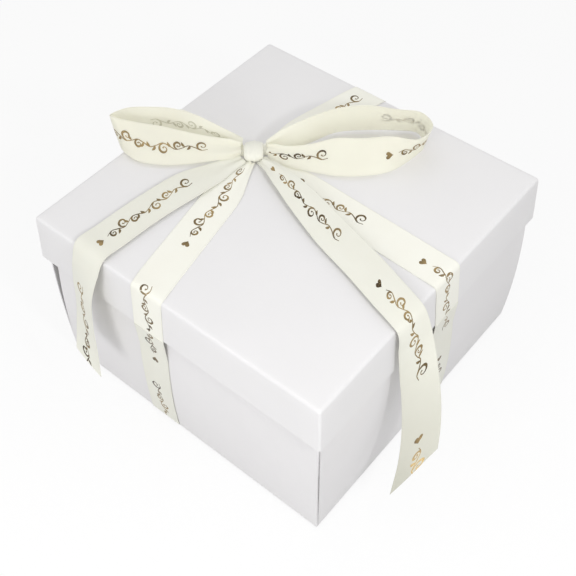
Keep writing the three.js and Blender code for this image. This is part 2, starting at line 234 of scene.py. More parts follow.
def framed_card_material(name, ground, ink, half, low, high):
    """A stuck-on card with thin printed lines round it and a scatter of small dots inside them.

    The card reaches half its width each way and stands from low to high.
    """
    material = card_material(name, ground, tuple(0.95 * v for v in ground), 0.6)
    n = Nodes.reopen(material)
    split = n.add("ShaderNodeSeparateXYZ")
    at = n.object_coordinates()
    n.link(at, split.inputs[0])
    away_x = n.math("ABSOLUTE", split.outputs[0])
    away_y = n.math("ABSOLUTE", split.outputs[1])
    along = n.math("MINIMUM", away_x, away_y)
    side = n.math("SUBTRACT", half * MM, along)
    bottom = n.math("SUBTRACT", split.outputs[2], low * MM)
    top = n.math("SUBTRACT", high * MM, split.outputs[2])
    margin = n.math("MINIMUM", n.math("MINIMUM", side, bottom), top)
    lines = None
    for place, width in FRAME_LINES:
        away = n.math("ABSOLUTE", n.math("SUBTRACT", margin, place * MM))
        line = n.ramp(away, width * MM, (width + FRAME_BLUR) * MM, 1.0, 0.0)
        lines = line if lines is None else n.math("MAXIMUM", lines, line)
    dots = n.add("ShaderNodeTexVoronoi", Scale=90.0, Randomness=0.35)
    n.link(at, dots.inputs["Vector"])
    dot = n.ramp(dots.outputs["Distance"], 0.1, 0.13, 0.8, 0.0)
    inside = n.ramp(margin, DOTS_FROM_EDGE * MM, (DOTS_FROM_EDGE + DOTS_FADE_IN) * MM)
    mark = n.math("MAXIMUM", lines, n.math("MULTIPLY", dot, inside), clamp=True)
    ground_colour = n.shader.inputs["Base Color"].links[0].from_socket
    n.link(n.mix(mark, ground_colour, ink), n.shader.inputs["Base Color"])
    return material


RIB_PITCH = 0.42  # of the fine ribs across the ribbon
FLOAT_PITCH = 0.3  # of the threads along it
WOVEN_EDGE = (1.0, 0.45)  # where the firmer edge begins and is full, in from the ribbon's side
PAINTED_SHADE_HEIGHTS = (45.0, 122.0)  # heights where the painted shade is full, and where it has faded out


def satin_material(name, colour, shade, through, painted_low_shade=None):
    """Satin ribbon: threads along it, fine ribs across, a firmer woven edge and light let through.

    With a low shade given, the colour deepens to it towards the foot of the box: painted shade for
    the lower end of a hanging ribbon, which turns away from the light.
    """
    n = Nodes(name)
    weave = n.attribute("weave")
    split = n.add("ShaderNodeSeparateXYZ")
    n.link(weave, split.inputs[0])
    across, along = split.outputs[0], split.outputs[1]
    edge_starts, edge_full = WOVEN_EDGE
    side = n.math("ABSOLUTE", across)
    edge = n.ramp(side, HALF_RIBBON - edge_starts, HALF_RIBBON - edge_full)
    ribs = n.math("SINE", n.math("MULTIPLY", along, 2 * math.pi / RIB_PITCH))
    floats = n.math("SINE", n.math("MULTIPLY", across, 2 * math.pi / FLOAT_PITCH))
    at = n.object_coordinates()
    cloud = n.noise(at, 60.0, 2.0)
    slub = n.noise(weave, 0.9, 3.0)
    tone = n.mix(n.ramp(cloud, 0.3, 0.7), shade, colour)
    tone = n.mix(n.math("MULTIPLY", edge, 0.3), tone, tuple(0.9 * v for v in shade))
    # Painted shade: darker towards the foot of the box, where a hanging ribbon turns from the light
    if painted_low_shade:
        place = n.add("ShaderNodeSeparateXYZ")
        n.link(at, place.inputs[0])
        full, gone = PAINTED_SHADE_HEIGHTS
        tone = n.mix(n.ramp(place.outputs[2], full * MM, gone * MM), painted_low_shade, tone)
    height = n.math("ADD", n.math("MULTIPLY", ribs, 0.5), n.math("MULTIPLY", floats, 0.35))
    height = n.math("ADD", height, n.math("MULTIPLY", slub, 1.6))
    bumps = n.bump(height, 0.000025, 0.5)
    bumps = n.bump(edge, 0.00008, 0.6, bumps)
    rough = n.ramp(slub, 0.3, 0.7, 0.32, 0.44)
    n.set(Specular_IOR_Level=0.4, Sheen_Weight=0.1, Sheen_Roughness=0.4)
    backlit = n.add("ShaderNodeBsdfTranslucent")
    n.link(tone, backlit.inputs["Color"])
    cloth = n.add("ShaderNodeMixShader")
    cloth.inputs[0].default_value = through
    n.link(n.shader.outputs[0], cloth.inputs[1])
    n.link(backlit.outputs[0], cloth.inputs[2])
    n.link(cloth.outputs[0], n.output.inputs["Surface"])
    return n.finish(tone, rough, bumps)


def foil_material():
    """Stamped foil: brown gold that turns from dark to bright along the ribbon, partly the foil's own
    uneven tone and partly painted reflection, the near-black standing in for dark surroundings
    mirrored in it.
    """
    n = Nodes("gold_foil")
    at = n.object_coordinates()
    patch = n.noise(at, 55.0, 2.0)
    grain = n.noise(at, 1500.0, 2.0)
    # Partly painted reflection: the near-black patches stand in for dark surroundings seen in the
    # foil
    tone = n.mix(n.ramp(patch, 0.38, 0.62), (0.06, 0.04, 0.02), (0.36, 0.26, 0.12))
    tone = n.mix(n.ramp(grain, 0.5, 0.8, 0.0, 0.4), tone, (0.55, 0.42, 0.2))
    n.set(Metallic=0.75)
    return n.finish(tone, n.ramp(grain, 0.3, 0.7, 0.3, 0.45))


def ghost_material():
    """The print seen faintly from the back of the ribbon."""
    n = Nodes("print_ghost")
    patch = n.noise(n.object_coordinates(), 80.0, 2.0)
    tone = n.mix(n.ramp(patch, 0.3, 0.7), (0.62, 0.6, 0.5), (0.7, 0.69, 0.58))
    return n.finish(tone, 0.5)


OUTER_MAT = (84.0, 11.8, 83.8)  # half its width, its foot and its top
INNER_MAT = (72.0, 13.1, 79.1)
IVORY = (0.84, 0.79, 0.68)
WHITE_CARD = card_material("white_card", (0.885, 0.872, 0.878), (0.865, 0.852, 0.858), 0.55)
LID_WHITE = card_material(
    "lid_card", (0.895, 0.885, 0.889), (0.878, 0.868, 0.872), 0.75, fibre=0.4, wave=0.0007
)
GREY_BOARD = card_material("grey_board", (0.72, 0.69, 0.63), (0.62, 0.59, 0.53), 0.8, fibre=0.9)
IVORY_CARD = card_material("ivory_card", IVORY, (0.8, 0.74, 0.62), 0.65)
OUTER_CARD = framed_card_material("outer_card", IVORY, (0.5, 0.36, 0.18), *OUTER_MAT)
INNER_CARD = framed_card_material("inner_card", (0.78, 0.62, 0.57), (0.93, 0.88, 0.78), *INNER_MAT)
PEARL_CARD = card_material("pearl_card", (0.85, 0.82, 0.76), (0.8, 0.76, 0.7), 0.4)
# One cream satin in four base colours, as painted light: lighter on the ribbon over the lid, the
# underside and the loops, darker on the tails, knot and wall ribbons
SATIN = satin_material("cream_satin", (0.915, 0.912, 0.82), (0.9, 0.893, 0.795), 0.05)
# The right tail's satin carries painted shade: its colour deepens towards its lower end
TAIL_SATIN = satin_material(
    "tail_satin", (0.94, 0.937, 0.845), (0.925, 0.918, 0.82), 0.05, painted_low_shade=(0.6, 0.595, 0.51)
)
LOOP_SATIN = satin_material("loop_satin", (0.98, 0.975, 0.9), (0.97, 0.96, 0.885), 0.46)
FLAT_SATIN = satin_material("flat_satin", (0.985, 0.98, 0.895), (0.97, 0.96, 0.87), 0.0)
FOIL = foil_material()
GHOST = ghost_material()


# Meshes
def add_mesh(name, vertices, faces, material, body, sharp=40):
    mesh = bpy.data.meshes.new(name)
    mesh.from_pydata((np.asarray(vertices) * MM).tolist(), [], faces)
    mesh.validate()
    mesh.materials.append(material)
    mesh.shade_smooth()
    mesh.set_sharp_from_angle(angle=math.radians(sharp))
    piece = bpy.data.objects.new(name, mesh)
    bpy.context.scene.collection.objects.link(piece)
    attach(piece, body)
    return piece


def unit(vectors):
    return vectors / np.maximum(np.linalg.norm(vectors, axis=-1, keepdims=True), 1e-12)


def sheet_normals(middle):
    along = np.gradient(middle, axis=0)
    across = np.gradient(middle, axis=1)
    return unit(np.cross(along, across))


def sheet_faces(rows, columns):
    """Faces of a closed sheet whose upper grid comes first and whose lower grid follows."""
    count = rows * columns
    at = np.arange(count).reshape(rows, columns)
    a, b, c, d = at[:-1, :-1], at[1:, :-1], at[1:, 1:], at[:-1, 1:]
    upper = np.stack([a, b, c, d], -1).reshape(-1, 4)
    lower = upper[:, ::-1] + count
    faces = [*upper.tolist(), *lower.tolist()]

    def wall(line, flip):
        for p, q in zip(line[:-1], line[1:]):
            ring = [int(p) + count, int(q) + count, int(q), int(p)]
            faces.append(ring[::-1] if flip else ring)

    wall(at[:, 0], False)
    wall(at[:, -1], True)
    wall(at[0, :], True)
    wall(at[-1, :], False)
    return faces


def add_sheet(name, middle, thickness, material, body, weave):
    """A closed sheet round a grid of middle points. Weave is how far across and along each is."""
    normal = sheet_normals(middle)
    half = np.broadcast_to(np.asarray(thickness, float) / 2, middle.shape[:2])[..., None]
    upper = (middle + normal * half).reshape(-1, 3)
    lower = (middle - normal * half).reshape(-1, 3)
    vertices = np.concatenate([upper, lower])
    piece = add_mesh(name, vertices, sheet_faces(*middle.shape[:2]), material, body)
    flat = np.concatenate([weave.reshape(-1, 2)] * 2)
    data = np.zeros((len(flat), 3))
    data[:, :2] = flat
    layer = piece.data.attributes.new("weave", "FLOAT_VECTOR", "POINT")
    layer.data.foreach_set("vector", data.ravel())
    return piece


def curve(points, power):
    """A Catmull-Rom curve through points, over 0 to 1. Power 0.5 is centripetal, 0 uniform."""
    p = np.asarray(points, float)
    p = np.vstack([2 * p[0] - p[1], p, 2 * p[-1] - p[-2]])

    def at(share):
        place = np.clip(np.asarray(share, float), 0, 1) * (len(p) - 3)
        i = np.minimum(place.astype(int), len(p) - 4)
        w = (place - i)[:, None]
        a, b, c, d = p[i], p[i + 1], p[i + 2], p[i + 3]

        def gap(q, r):
            return np.maximum(np.linalg.norm(r - q, axis=-1, keepdims=True) ** power, 1e-4)

        ab, bc, cd = gap(a, b), gap(b, c), gap(c, d)
        start = ((b - a) / ab - (c - a) / (ab + bc) + (c - b) / bc) * bc
        end = ((c - b) / bc - (d - b) / (bc + cd) + (d - c) / cd) * bc
        cube = 2 * b - 2 * c + start + end
        square = -3 * b + 3 * c - 2 * start - end
        return ((cube * w + square) * w + start) * w + b

    return at


# Shares of half the width at which a ribbon has its lengthwise lines of points
RIGHT_HALF = [0.12, 0.25, 0.4, 0.55, 0.7, 0.85, 0.95, 0.985, 1]
ACROSS = np.array([-share for share in reversed(RIGHT_HALF)] + [0] + RIGHT_HALF)
MEASURING_STEPS = 1200
NUDGE = 1e-3  # along the curve, to find which way it runs


class Ribbon:
    """A length of ribbon: a grid of middle points, what it measures along, and places on it.

    Each station has a middle point and the vector from there to one edge. A cut shortens the far
    end by a share of the length, at one edge and at the other.
    """

    def __init__(self, stations, step=1.6, cut=(0.0, 0.0), shape=None):
        middles = curve([s[0] for s in stations], 0.5)
        edges = curve([s[1] for s in stations], 0.0)
        fine = np.linspace(0, 1, MEASURING_STEPS)
        line = middles(fine)
        reach = np.concatenate([[0], np.cumsum(np.linalg.norm(np.diff(line, axis=0), axis=1))])
        self.length = reach[-1]
        rows = max(8, int(round(self.length / step)))
        lengths = np.linspace(0, self.length, rows + 1)
        share = np.interp(lengths, reach, fine)
        shorter = 1 - (cut[0] * (1 - ACROSS) / 2 + cut[1] * (1 + ACROSS) / 2)
        shares = share[:, None] * shorter[None, :]
        flat = shares.ravel()
        at = middles(flat).reshape(*shares.shape, 3)
        edge = edges(flat).reshape(*shares.shape, 3)
        ahead = middles(np.minimum(flat + NUDGE, 1)) - middles(np.maximum(flat - NUDGE, 0))
        normal = unit(np.cross(ahead.reshape(*shares.shape, 3), edge))
        self.along = np.interp(flat, fine, reach).reshape(shares.shape)
        self.across = np.broadcast_to(ACROSS[None, :], shares.shape)
        self.middle = at + edge * self.across[..., None]
        if shape is not None:
            rise = shape(self.along, self.across, self.length)
            self.middle = self.middle + normal * rise[..., None]
        self.normal = sheet_normals(self.middle)

    def thickness(self):
        """Thicker along the woven edge, and thin at its very side, where it rounds off."""
        edge = np.abs(self.across)
        return SATIN_THICK * np.where(edge > 0.99, 0.45, np.where(edge > 0.96, 1.15, 1.0))

    def weave(self):
        return np.stack([self.across * HALF_RIBBON, self.along], -1)

    def add(self, name, body, material):
        thick, weave = self.thickness(), self.weave()
        return add_sheet(name, self.middle, thick, material, body, weave)

    def place(self, along, across, lift):
        """Points on the ribbon, from millimetres along and across it, lifted off its middle."""
        row = np.interp(along, self.along[:, self.along.shape[1] // 2], np.arange(len(self.along)))
        column = np.interp(across / HALF_RIBBON, self.across[0], np.arange(self.across.shape[1]))
        i = np.clip(row.astype(int), 0, len(self.along) - 2)
        j = np.clip(column.astype(int), 0, self.across.shape[1] - 2)
        a, b = (row - i)[:, None], (column - j)[:, None]

        def blend(grid):
            near = grid[i, j] * (1 - b) + grid[i, j + 1] * b
            far = grid[i + 1, j] * (1 - b) + grid[i + 1, j + 1] * b
            return near * (1 - a) + far * a

        return blend(self.middle) + unit(blend(self.normal)) * np.asarray(lift).reshape(-1, 1)


# Foil print: a running scroll with curls, leaves and a small heart, in millimetres along and across
STROKE_WEIGHT = 1.3
SWAY = 1.5  # of the running line, to each side
SWAY_PITCH = 15
CURL_TURN = math.radians(430)
CURL_SHRINK = 0.8
CURL_WIDTHS = [0.28, 0.95, 0.95, 0.45, 0.3, 0.75]
CURLS = ((4, 3.6, 1), (18, 2.6, 1), (26, 3.2, -1), (41, 2.4, -1), (48, 3.2, 1), (56, 2.2, -1))
LEAVES = ((11, 1), (14, -1), (22, -1), (31, 1), (34, -1), (38, 1), (45, -1), (52, 1))
LEAF_LENGTH = 3.4
LEAF_WIDTH = 1.15
LEAF_HEADING = 0.95
HEART_PLACE = (65.5, 0.8)
HEART_SIZE = 4.6
HEART_POINTS = 22
FOIL_LIFT = 0.05
FOIL_SINK = 0.1
PRINT_START_CLEAR = 1.5  # the print keeps this far from a ribbon's ends
PRINT_END_CLEAR = 2.5


def stroke(points, widths, steps):
    """A line through points, and its width along it."""
    share = np.linspace(0, 1, steps)
    line = curve([(x, y, 0) for x, y in points], 0.5)(share)[:, :2]
    width = STROKE_WEIGHT * np.interp(share, np.linspace(0, 1, len(widths)), widths)
    return line, width


def sway(x):
    return SWAY * math.sin(x / SWAY_PITCH * 2 * math.pi)


def curl(x, radius, turn):
    """A tendril that leaves the running line at x and winds inwards."""
    points = []
    centre = (x, sway(x) - radius * turn)
    start = math.atan2(radius * turn, 0)
    for share in np.linspace(0, 1, 9):
        r = radius * (1 - CURL_SHRINK * share)
        angle = start - turn * share * CURL_TURN
        points.append((centre[0] + r * math.cos(angle), centre[1] + r * math.sin(angle)))
    return stroke(points, CURL_WIDTHS, 26)


def leaf(x, side):
    """A short bent leaf that leaves the running line at x, to one side."""

    def reach(share, heading):
        length = share * LEAF_LENGTH
        return (x + length * math.cos(heading), sway(x) + length * math.sin(heading))

    heading = side * LEAF_HEADING
    points = [(x, sway(x)), reach(0.5, heading + 0.25), reach(1, heading)]
    return stroke(points, [0.15, LEAF_WIDTH, LEAF_WIDTH * 0.9, 0.12], 9)


def scroll_strokes():
    wave = [(x, sway(x)) for x in np.linspace(1, 60, 17)]
    strokes = [stroke(wave, [0.25, 0.5, 0.3, 0.5, 0.3, 0.5, 0.3, 0.5, 0.2], 90)]
    strokes += [curl(*row) for row in CURLS]
    strokes += [leaf(*row) for row in LEAVES]
    return strokes


def heart_outline():
    """The heart curve, which is 32 units wide before it is scaled."""
    points = []
    scale = HEART_SIZE / 32
    for k in range(HEART_POINTS):
        a = 2 * math.pi * k / HEART_POINTS
        across = 16 * math.sin(a) ** 3
        up = 13 * math.cos(a) - 5 * math.cos(2 * a) - 2 * math.cos(3 * a) - math.cos(4 * a)
        points.append((HEART_PLACE[0] + up * scale, HEART_PLACE[1] + across * scale))
    return np.array(points)


SCROLL = scroll_strokes()


def print_motif(ribbon, start, direction, face, vertices, faces):
    """Adds one motif from a place along the ribbon, running on or back, on one of its faces."""

    def lay(points, lift):
        along = start + direction * points[:, 0]
        across = points[:, 1] * direction * face
        return ribbon.place(along, across, np.full(len(points), face * (SATIN_THICK / 2 + lift)))

    def on_ribbon(points):
        along = start + direction * points[:, 0]
        return (along > PRINT_START_CLEAR) & (along < ribbon.length - PRINT_END_CLEAR)

    for line, width in SCROLL:
        ahead = unit(np.gradient(line, axis=0))
        side = np.stack([-ahead[:, 1], ahead[:, 0]], 1) * (width / 2)[:, None]
        keep = on_ribbon(line)
        if keep.sum() < 4:
            continue
        first, last = np.flatnonzero(keep)[[0, -1]]
        line, side = line[first : last + 1], side[first : last + 1]
        rows = len(line)
        base = len(vertices)
        sides = (line - side, line + side)
        layers = [lay(points, lift) for lift in (FOIL_LIFT, -FOIL_SINK) for points in sides]
        vertices.extend(np.stack(layers, 1).reshape(-1, 3).tolist())
        for k in range(rows - 1):
            a = base + 4 * k
            b = a + 4
            faces.append([a, b, b + 1, a + 1])
            faces.append([a + 2, a + 3, b + 3, b + 2])
            faces.append([a, a + 2, b + 2, b])
            faces.append([a + 1, b + 1, b + 3, a + 3])
        for a, flip in ((base, False), (base + 4 * (rows - 1), True)):
            ring = [a, a + 1, a + 3, a + 2]
            faces.append(ring[::-1] if flip else ring)
    outline = heart_outline()
    if on_ribbon(outline).all():
        count = len(outline)
        base = len(vertices)
        centre = outline.mean(0, keepdims=True)
        both = np.vstack([outline, centre])
        vertices.extend(lay(both, FOIL_LIFT).tolist())
        vertices.extend(lay(both, -FOIL_SINK).tolist())
        for k in range(count):
            p, q = base + k, base + (k + 1) % count
            under = count + 1
            faces.append([p, q, base + count])
            faces.append([q + under, p + under, base + count + under])
            faces.append([p + under, q + under, q, p])


def add_print(name, ribbon, motifs, body, face, ghosts=()):
    """The foil on one ribbon, from each motif's start along it and direction.

    Ghosts are the print's faint back, and lie on the ribbon's other face.
    """
    made = []
    prints = (("foil", face, FOIL, motifs), ("ghost", -face, GHOST, ghosts))
    for suffix, side, material, places in prints:
        vertices, faces = [], []
        for start, direction in places:
            print_motif(ribbon, start, direction, side, vertices, faces)
        if faces:
            piece_name = f"{name}_{suffix}"
            made.append(add_mesh(piece_name, vertices, faces, material, body, 30))
    return made


def gathered(near_start, near_end, folds, height, cup, phase=0.0):
    """Folds that fade away from the knot, and a slight cup across the rest of the ribbon.

    near_start and near_end are how far they reach from each end, and 0 is none there.
    """

    def shape(along, across, length):
        close = np.zeros_like(along)
        if near_start:
            close += np.exp(-((along / near_start) ** 1.5))
        if near_end:
            close += np.exp(-(((length - along) / near_end) ** 1.5))
        waves = np.sin(math.pi * folds * across + phase)
        return height * close * waves + cup * (1 - close) * (across**2 - 0.33)

    return shape


def turned(vector, degrees):
    a = math.radians(degrees)
    x, y, z = vector
    return np.array([x * math.cos(a) - y * math.sin(a), x * math.sin(a) + y * math.cos(a), z])


def loop_stations(rows, loop):
    made = []
    for along, across, lift, *edge in rows:
        edge = turned(edge, loop["heading"]) * HALF_RIBBON
        at = turned((along, across, 0), loop["heading"]) * loop["length"]
        at += np.array([*KNOT, BOW_Z + lift * HALF_RIBBON + edge[2]])
        made.append((at, edge))
    return made


def tail_stations(on_lid, hanging, tail):
    side, crossing, drop = tail["side"], tail["crossing"], tail["drop"]

    def place(out, along, z):
        return np.array([along, -out, z] if side == "front" else [out, along, z], float)

    knot = np.array([*KNOT, 0])
    run = place(LID_HALF, crossing, 0) - knot
    left = np.array([-run[1], run[0], 0])
    made = []
    for share, aside, lift, *edge in on_lid:
        at = knot + run * share + left * aside
        at[2] = BOW_Z + RIBBON_THICK / 2 + lift * HALF_RIBBON
        made.append((at, np.array(edge) * HALF_RIBBON))
    for out, along, down, *edge in hanging:
        at = place(LID_HALF + out * drop, crossing + along * drop, BOX_HEIGHT - down * drop)
        made.append((at, np.array(edge) * HALF_RIBBON))
    return made


# Stations of the bow, as in the part's source
LEFT_LOOP_ROWS = [
    (0.092, 0.012, 0.191, 0.03, -0.2, 0.26),
    (0.16, 0.04, 0.164, 0.06, -0.35, 0.37),
    (0.293, 0.07, 0.136, 0.09, -0.44, 0.45),
    (0.469, 0.107, 0.1, 0.12, -0.58, 0.6),
    (0.649, 0.127, 0.1, 0.13, -0.7, 0.71),
    (0.828, 0.122, 0.118, 0.14, -0.65, 0.74),
    (0.959, 0.098, 0.1, 0.12, -0.14, 0.98),
    (1.005, 0.028, 0.045, 0.06, 0.15, 0.98),
    (0.917, -0.044, 0.036, 0.02, 0.07, 1),
    (0.764, -0.079, 0.055, 0.01, 0.06, 1),
    (0.603, -0.089, 0.064, 0.02, 0.05, 1),
    (0.419, -0.064, 0.064, 0.03, 0, 0.93),
    (0.255, -0.06, 0.082, 0.03, -0.13, 0.56),
    (0.15, -0.045, 0.145, 0.03, -0.16, 0.37),
    (0.088, -0.036, 0.191, 0.02, -0.16, 0.26),
]
RIGHT_LOOP_ROWS = [
    (0.077, -0.022, 0.191, 0.01, 0.2, 0.26),
    (0.12, -0.046, 0.136, 0.01, 0.33, 0.34),
    (0.195, -0.08, 0.1, 0.02, 0.37, 0.38),
    (0.322, -0.116, 0.082, 0.03, 0.49, 0.51),
    (0.459, -0.141, 0.1, 0.04, 0.67, 0.68),
    (0.61, -0.156, 0.118, 0.04, 0.67, 0.68),
    (0.77, -0.172, 0.1, -0.02, 0.26, 0.96),
    (0.925, -0.122, 0.045, -0.03, -0.37, 0.93),
    (1.005, -0.032, 0.036, 0.1, -0.3, 0.94),
    (0.97, 0.084, 0.036, 0, -0.29, 0.95),
    (0.839, 0.118, 0.036, -0.04, -0.27, 0.96),
    (0.667, 0.146, 0.036, -0.04, -0.16, 0.99),
    (0.49, 0.136, 0.036, -0.04, -0.18, 0.98),
    (0.306, 0.073, 0.082, -0.02, 0.1, 0.78),
    (0.15, 0.034, 0.145, 0.01, 0.17, 0.5),
    (0.074, 0.022, 0.191, 0.01, 0.12, 0.26),
]
LEFT_TAIL_ON_LID = [
    (0.064, -0.014, 0.027, -0.3, 0.09, 0),
    (0.13, -0.023, 0.023, -0.45, 0.12, 0),
    (0.22, -0.029, 0.023, -0.69, 0.2, 0),
    (0.384, -0.046, 0.077, -0.96, 0.24, 0),
    (0.615, -0.043, 0.077, -0.99, 0.13, 0),
    (0.861, -0.018, 0.077, -1, 0.05, 0),
    (0.991, -0.002, 0.041, -1, 0.04, 0.02),
]
LEFT_TAIL_HANGING = [
    (0.065, 0.006, 0.083, -0.99, 0.11, 0),
    (0.13, -0.006, 0.292, -0.96, 0.27, 0),
    (0.178, 0.01, 0.542, -0.95, 0.31, 0),
    (0.243, 0.047, 0.778, -0.98, 0.18, 0),
    (0.324, 0.098, 1, -1, 0.05, 0),
]
RIGHT_TAIL_ON_LID = [
    (0.056, 0, 0.173, -0.05, -0.27, 0),
    (0.09, 0.008, 0.218, -0.06, -0.4, 0),
    (0.165, 0.01, 0.277, -0.04, -0.6, 0),
    (0.335, 0.01, 0.241, -0.2, -0.82, 0),
    (0.531, 0.006, 0.15, -0.25, -0.95, 0),
    (0.735, 0.008, 0.132, -0.24, -0.97, 0),
    (0.897, 0.002, 0.15, -0.25, -0.96, 0),
    (0.978, 0.001, 0.123, -0.15, -0.98, 0),
]
RIGHT_TAIL_HANGING = [
    (0.025, -0.005, -0.014, -0.11, -0.97, 0),
    (0.055, -0.011, 0.04, -0.16, -0.96, 0),
    (0.091, -0.023, 0.159, -0.38, -0.88, 0),
    (0.152, -0.057, 0.341, -0.62, -0.66, -0.22),
    (0.223, -0.108, 0.517, -0.74, -0.55, -0.2),
    (0.293, -0.188, 0.682, -0.74, -0.52, -0.28),
    (0.352, -0.295, 0.824, -0.74, -0.46, -0.38),
    (0.4, -0.43, 1, -0.79, -0.36, -0.42),
]


def side_turn(points, side):
    """From a side's own frame, whose -Y looks out of that side, to the part's frame."""
    a = SIDES.index(side) * math.pi / 2
    x, y, z = points[..., 0], points[..., 1], points[..., 2]
    return np.stack([x * math.cos(a) - y * math.sin(a), x * math.sin(a) + y * math.cos(a), z], -1)


def rim_out(z):
    return LID_HALF + RIM_FLARE * np.clip((BOX_HEIGHT - z) / RIM_DEPTH, 0, 1)


# Lid: one folded sheet, softly creased along its edges, with rounded corners
LID_TOP_HALVES = (8, 24, 40, 56, 70, 80, 88, 94, 96.5)
LID_FOLD_ANGLES = (0, 18, 36, 54, 72, 90)
LID_RIM_RINGS = 10
LID_SIDE_STEPS = 14
LID_CORNER_STEPS = 5
EDGE_DIP = 0.2  # how far the top sinks towards its edge
EDGE_DIP_REACH = 5
FOLD_DIP = 0.15


def rounded_square(half, z):
    """A ring of points round a square with rounded corners, from the left end of its front."""
    ring = []
    reach = half - LID_CORNER
    for side in SIDES:
        for share in np.linspace(-1, 1, LID_SIDE_STEPS)[:-1]:
            ring.append(side_turn(np.array([share * reach, -half, z]), side))
        for step in range(LID_CORNER_STEPS):
            a = math.radians(90 * step / LID_CORNER_STEPS)
            out = np.array([math.sin(a), -math.cos(a), 0.0])
            ring.append(side_turn(np.array([reach, -reach, z]) + LID_CORNER * out, side))
    return np.array(ring)


def lid_rings(inset):
    """Rings from near the middle of the top, over the fold and down the rim, set in by a distance."""
    radius = LID_FOLD - inset
    rings = []
    for half in LID_TOP_HALVES:
        dip = EDGE_DIP * math.exp((half - LID_HALF) / EDGE_DIP_REACH)
        rings.append(rounded_square(half, BOX_HEIGHT - inset - dip))
    for angle in np.radians(LID_FOLD_ANGLES):
        half = LID_HALF - LID_FOLD + radius * math.sin(angle)
        z = BOX_HEIGHT - LID_FOLD + (radius - FOLD_DIP) * math.cos(angle)
        rings.append(rounded_square(half, z))
    for z in np.linspace(BOX_HEIGHT - LID_FOLD - 1, RIM_Z, LID_RIM_RINGS):
        rings.append(rounded_square(float(rim_out(z)) - inset, z))
    return rings


def add_lid():
    rings = lid_rings(0.0) + lid_rings(LID_CARD)[::-1]
    count = len(rings[0])
    faces = [list(range(count))]
    for i in range(len(rings) - 1):
        for j in range(count):
            k = (j + 1) % count
            faces.append([i * count + j, (i + 1) * count + j, (i + 1) * count + k, i * count + k])
    faces.append([(len(rings) - 1) * count + j for j in range(count)][::-1])
    piece = add_mesh("lid", np.concatenate(rings), faces, LID_WHITE, "lid", 60)
    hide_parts("lid_shell")


add_lid()

# Ribbon over the lid: how far from the knot it has which half width, where the pinch opens out
PINCH = ((5.2, 3.5), (12, 5.0), (22, 7.6), (32, 10.2), (42, HALF_RIBBON))
FOLD_LEAD = 11  # from the last station that is square to the ribbon's run to the lid's edge
PLEAT_REACH = 20
PLEAT_HEIGHT = 0.8


def lid_ribbon(side):
    lid, foot = RIBBON_AT[side]
    knot = side_turn(np.array([*KNOT, 0.0]), SIDES[-SIDES.index(side) % 4])
    edge = np.array([lid, -LID_HALF, 0])
    out = edge - knot
    reach = np.linalg.norm(out)
    out = out / reach
    width = np.array([-out[1], out[0], 0])
    level = np.array([HALF_RIBBON, 0, 0])
    lie = RIBBON_LIE + SATIN_THICK / 2
    z = BOX_HEIGHT + lie

    def station(distance, half):
        at = knot + out * distance
        return (np.array([at[0], at[1], z]), width * half)

    def fold(angle):
        r = LID_FOLD + lie
        out_y = -LID_HALF - lie + r * (1 - math.sin(angle))
        return (np.array([lid, out_y, z - r * (1 - math.cos(angle))]), level)

    def over(drop):
        x = lid - (lid - foot) * drop / BOX_HEIGHT
        height = BOX_HEIGHT - drop
        return (np.array([x, -rim_out(height) - lie, height]), level)

    opened, lead = PINCH[-1][0], reach - FOLD_LEAD
    stations = [
        *(station(distance, half) for distance, half in PINCH),
        station((opened + lead) / 2, HALF_RIBBON),
        station(lead, HALF_RIBBON),
        fold(math.radians(5)),
        fold(math.radians(45)),
        fold(math.radians(85)),
        over(5),
        over(RIM_DEPTH / 2),
        over(RIM_DEPTH),
        over(RIM_DEPTH + RIBBON_LAP),
    ]

    def shape(along, across, length):
        close = np.exp(-((along / PLEAT_REACH) ** 1.6))
        waves = np.cos(math.pi * 2.2 * across + SIDES.index(side))
        return PLEAT_HEIGHT * close * (1 + waves) / 2

    ribbon = Ribbon(stations, step=1.2, shape=shape)
    ribbon.middle = side_turn(ribbon.middle, side)
    ribbon.normal = side_turn(ribbon.normal, side)
    return ribbon


# Each motif of the print: where it starts along its ribbon, and whether it runs on or back
LID_MOTIFS = {
    "front": [(5.5, 1), (103, 1)],
    "right": [(77, -1), (182, -1)],
    "back": [(78, -1)],
    "left": [(74, -1)],
}
for side in SIDES:
    ribbon = lid_ribbon(side)
    piece = ribbon.add(f"ribbon_over_lid_{side}", "lid", FLAT_SATIN)
    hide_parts(f"lid_ribbon_{side}")
    prints = add_print(f"lid_{side}", ribbon, LID_MOTIFS[side], "lid", 1)

# Bow
left_loop = Ribbon(
    loop_stations(LEFT_LOOP_ROWS, LEFT_LOOP), shape=gathered(16, 16, 1.4, 0.9, cup=0.25, phase=0.4)
)
right_loop = Ribbon(
    loop_stations(RIGHT_LOOP_ROWS, RIGHT_LOOP), shape=gathered(16, 16, 1.4, 0.9, cup=0.25, phase=2.0)
)
LOOPS = (
    ("left", left_loop, -1, [(18, 1)], [(100, 1)]),
    ("right", right_loop, 1, [(37, -1), (136, -1)], []),
)
for name, ribbon, face, motifs, ghosts in LOOPS:
    piece = ribbon.add(f"bow_{name}_loop", "lid", LOOP_SATIN)
    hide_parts(f"bow_loop_{name}")
    prints = add_print(f"bow_{name}", ribbon, motifs, "lid", face, ghosts)

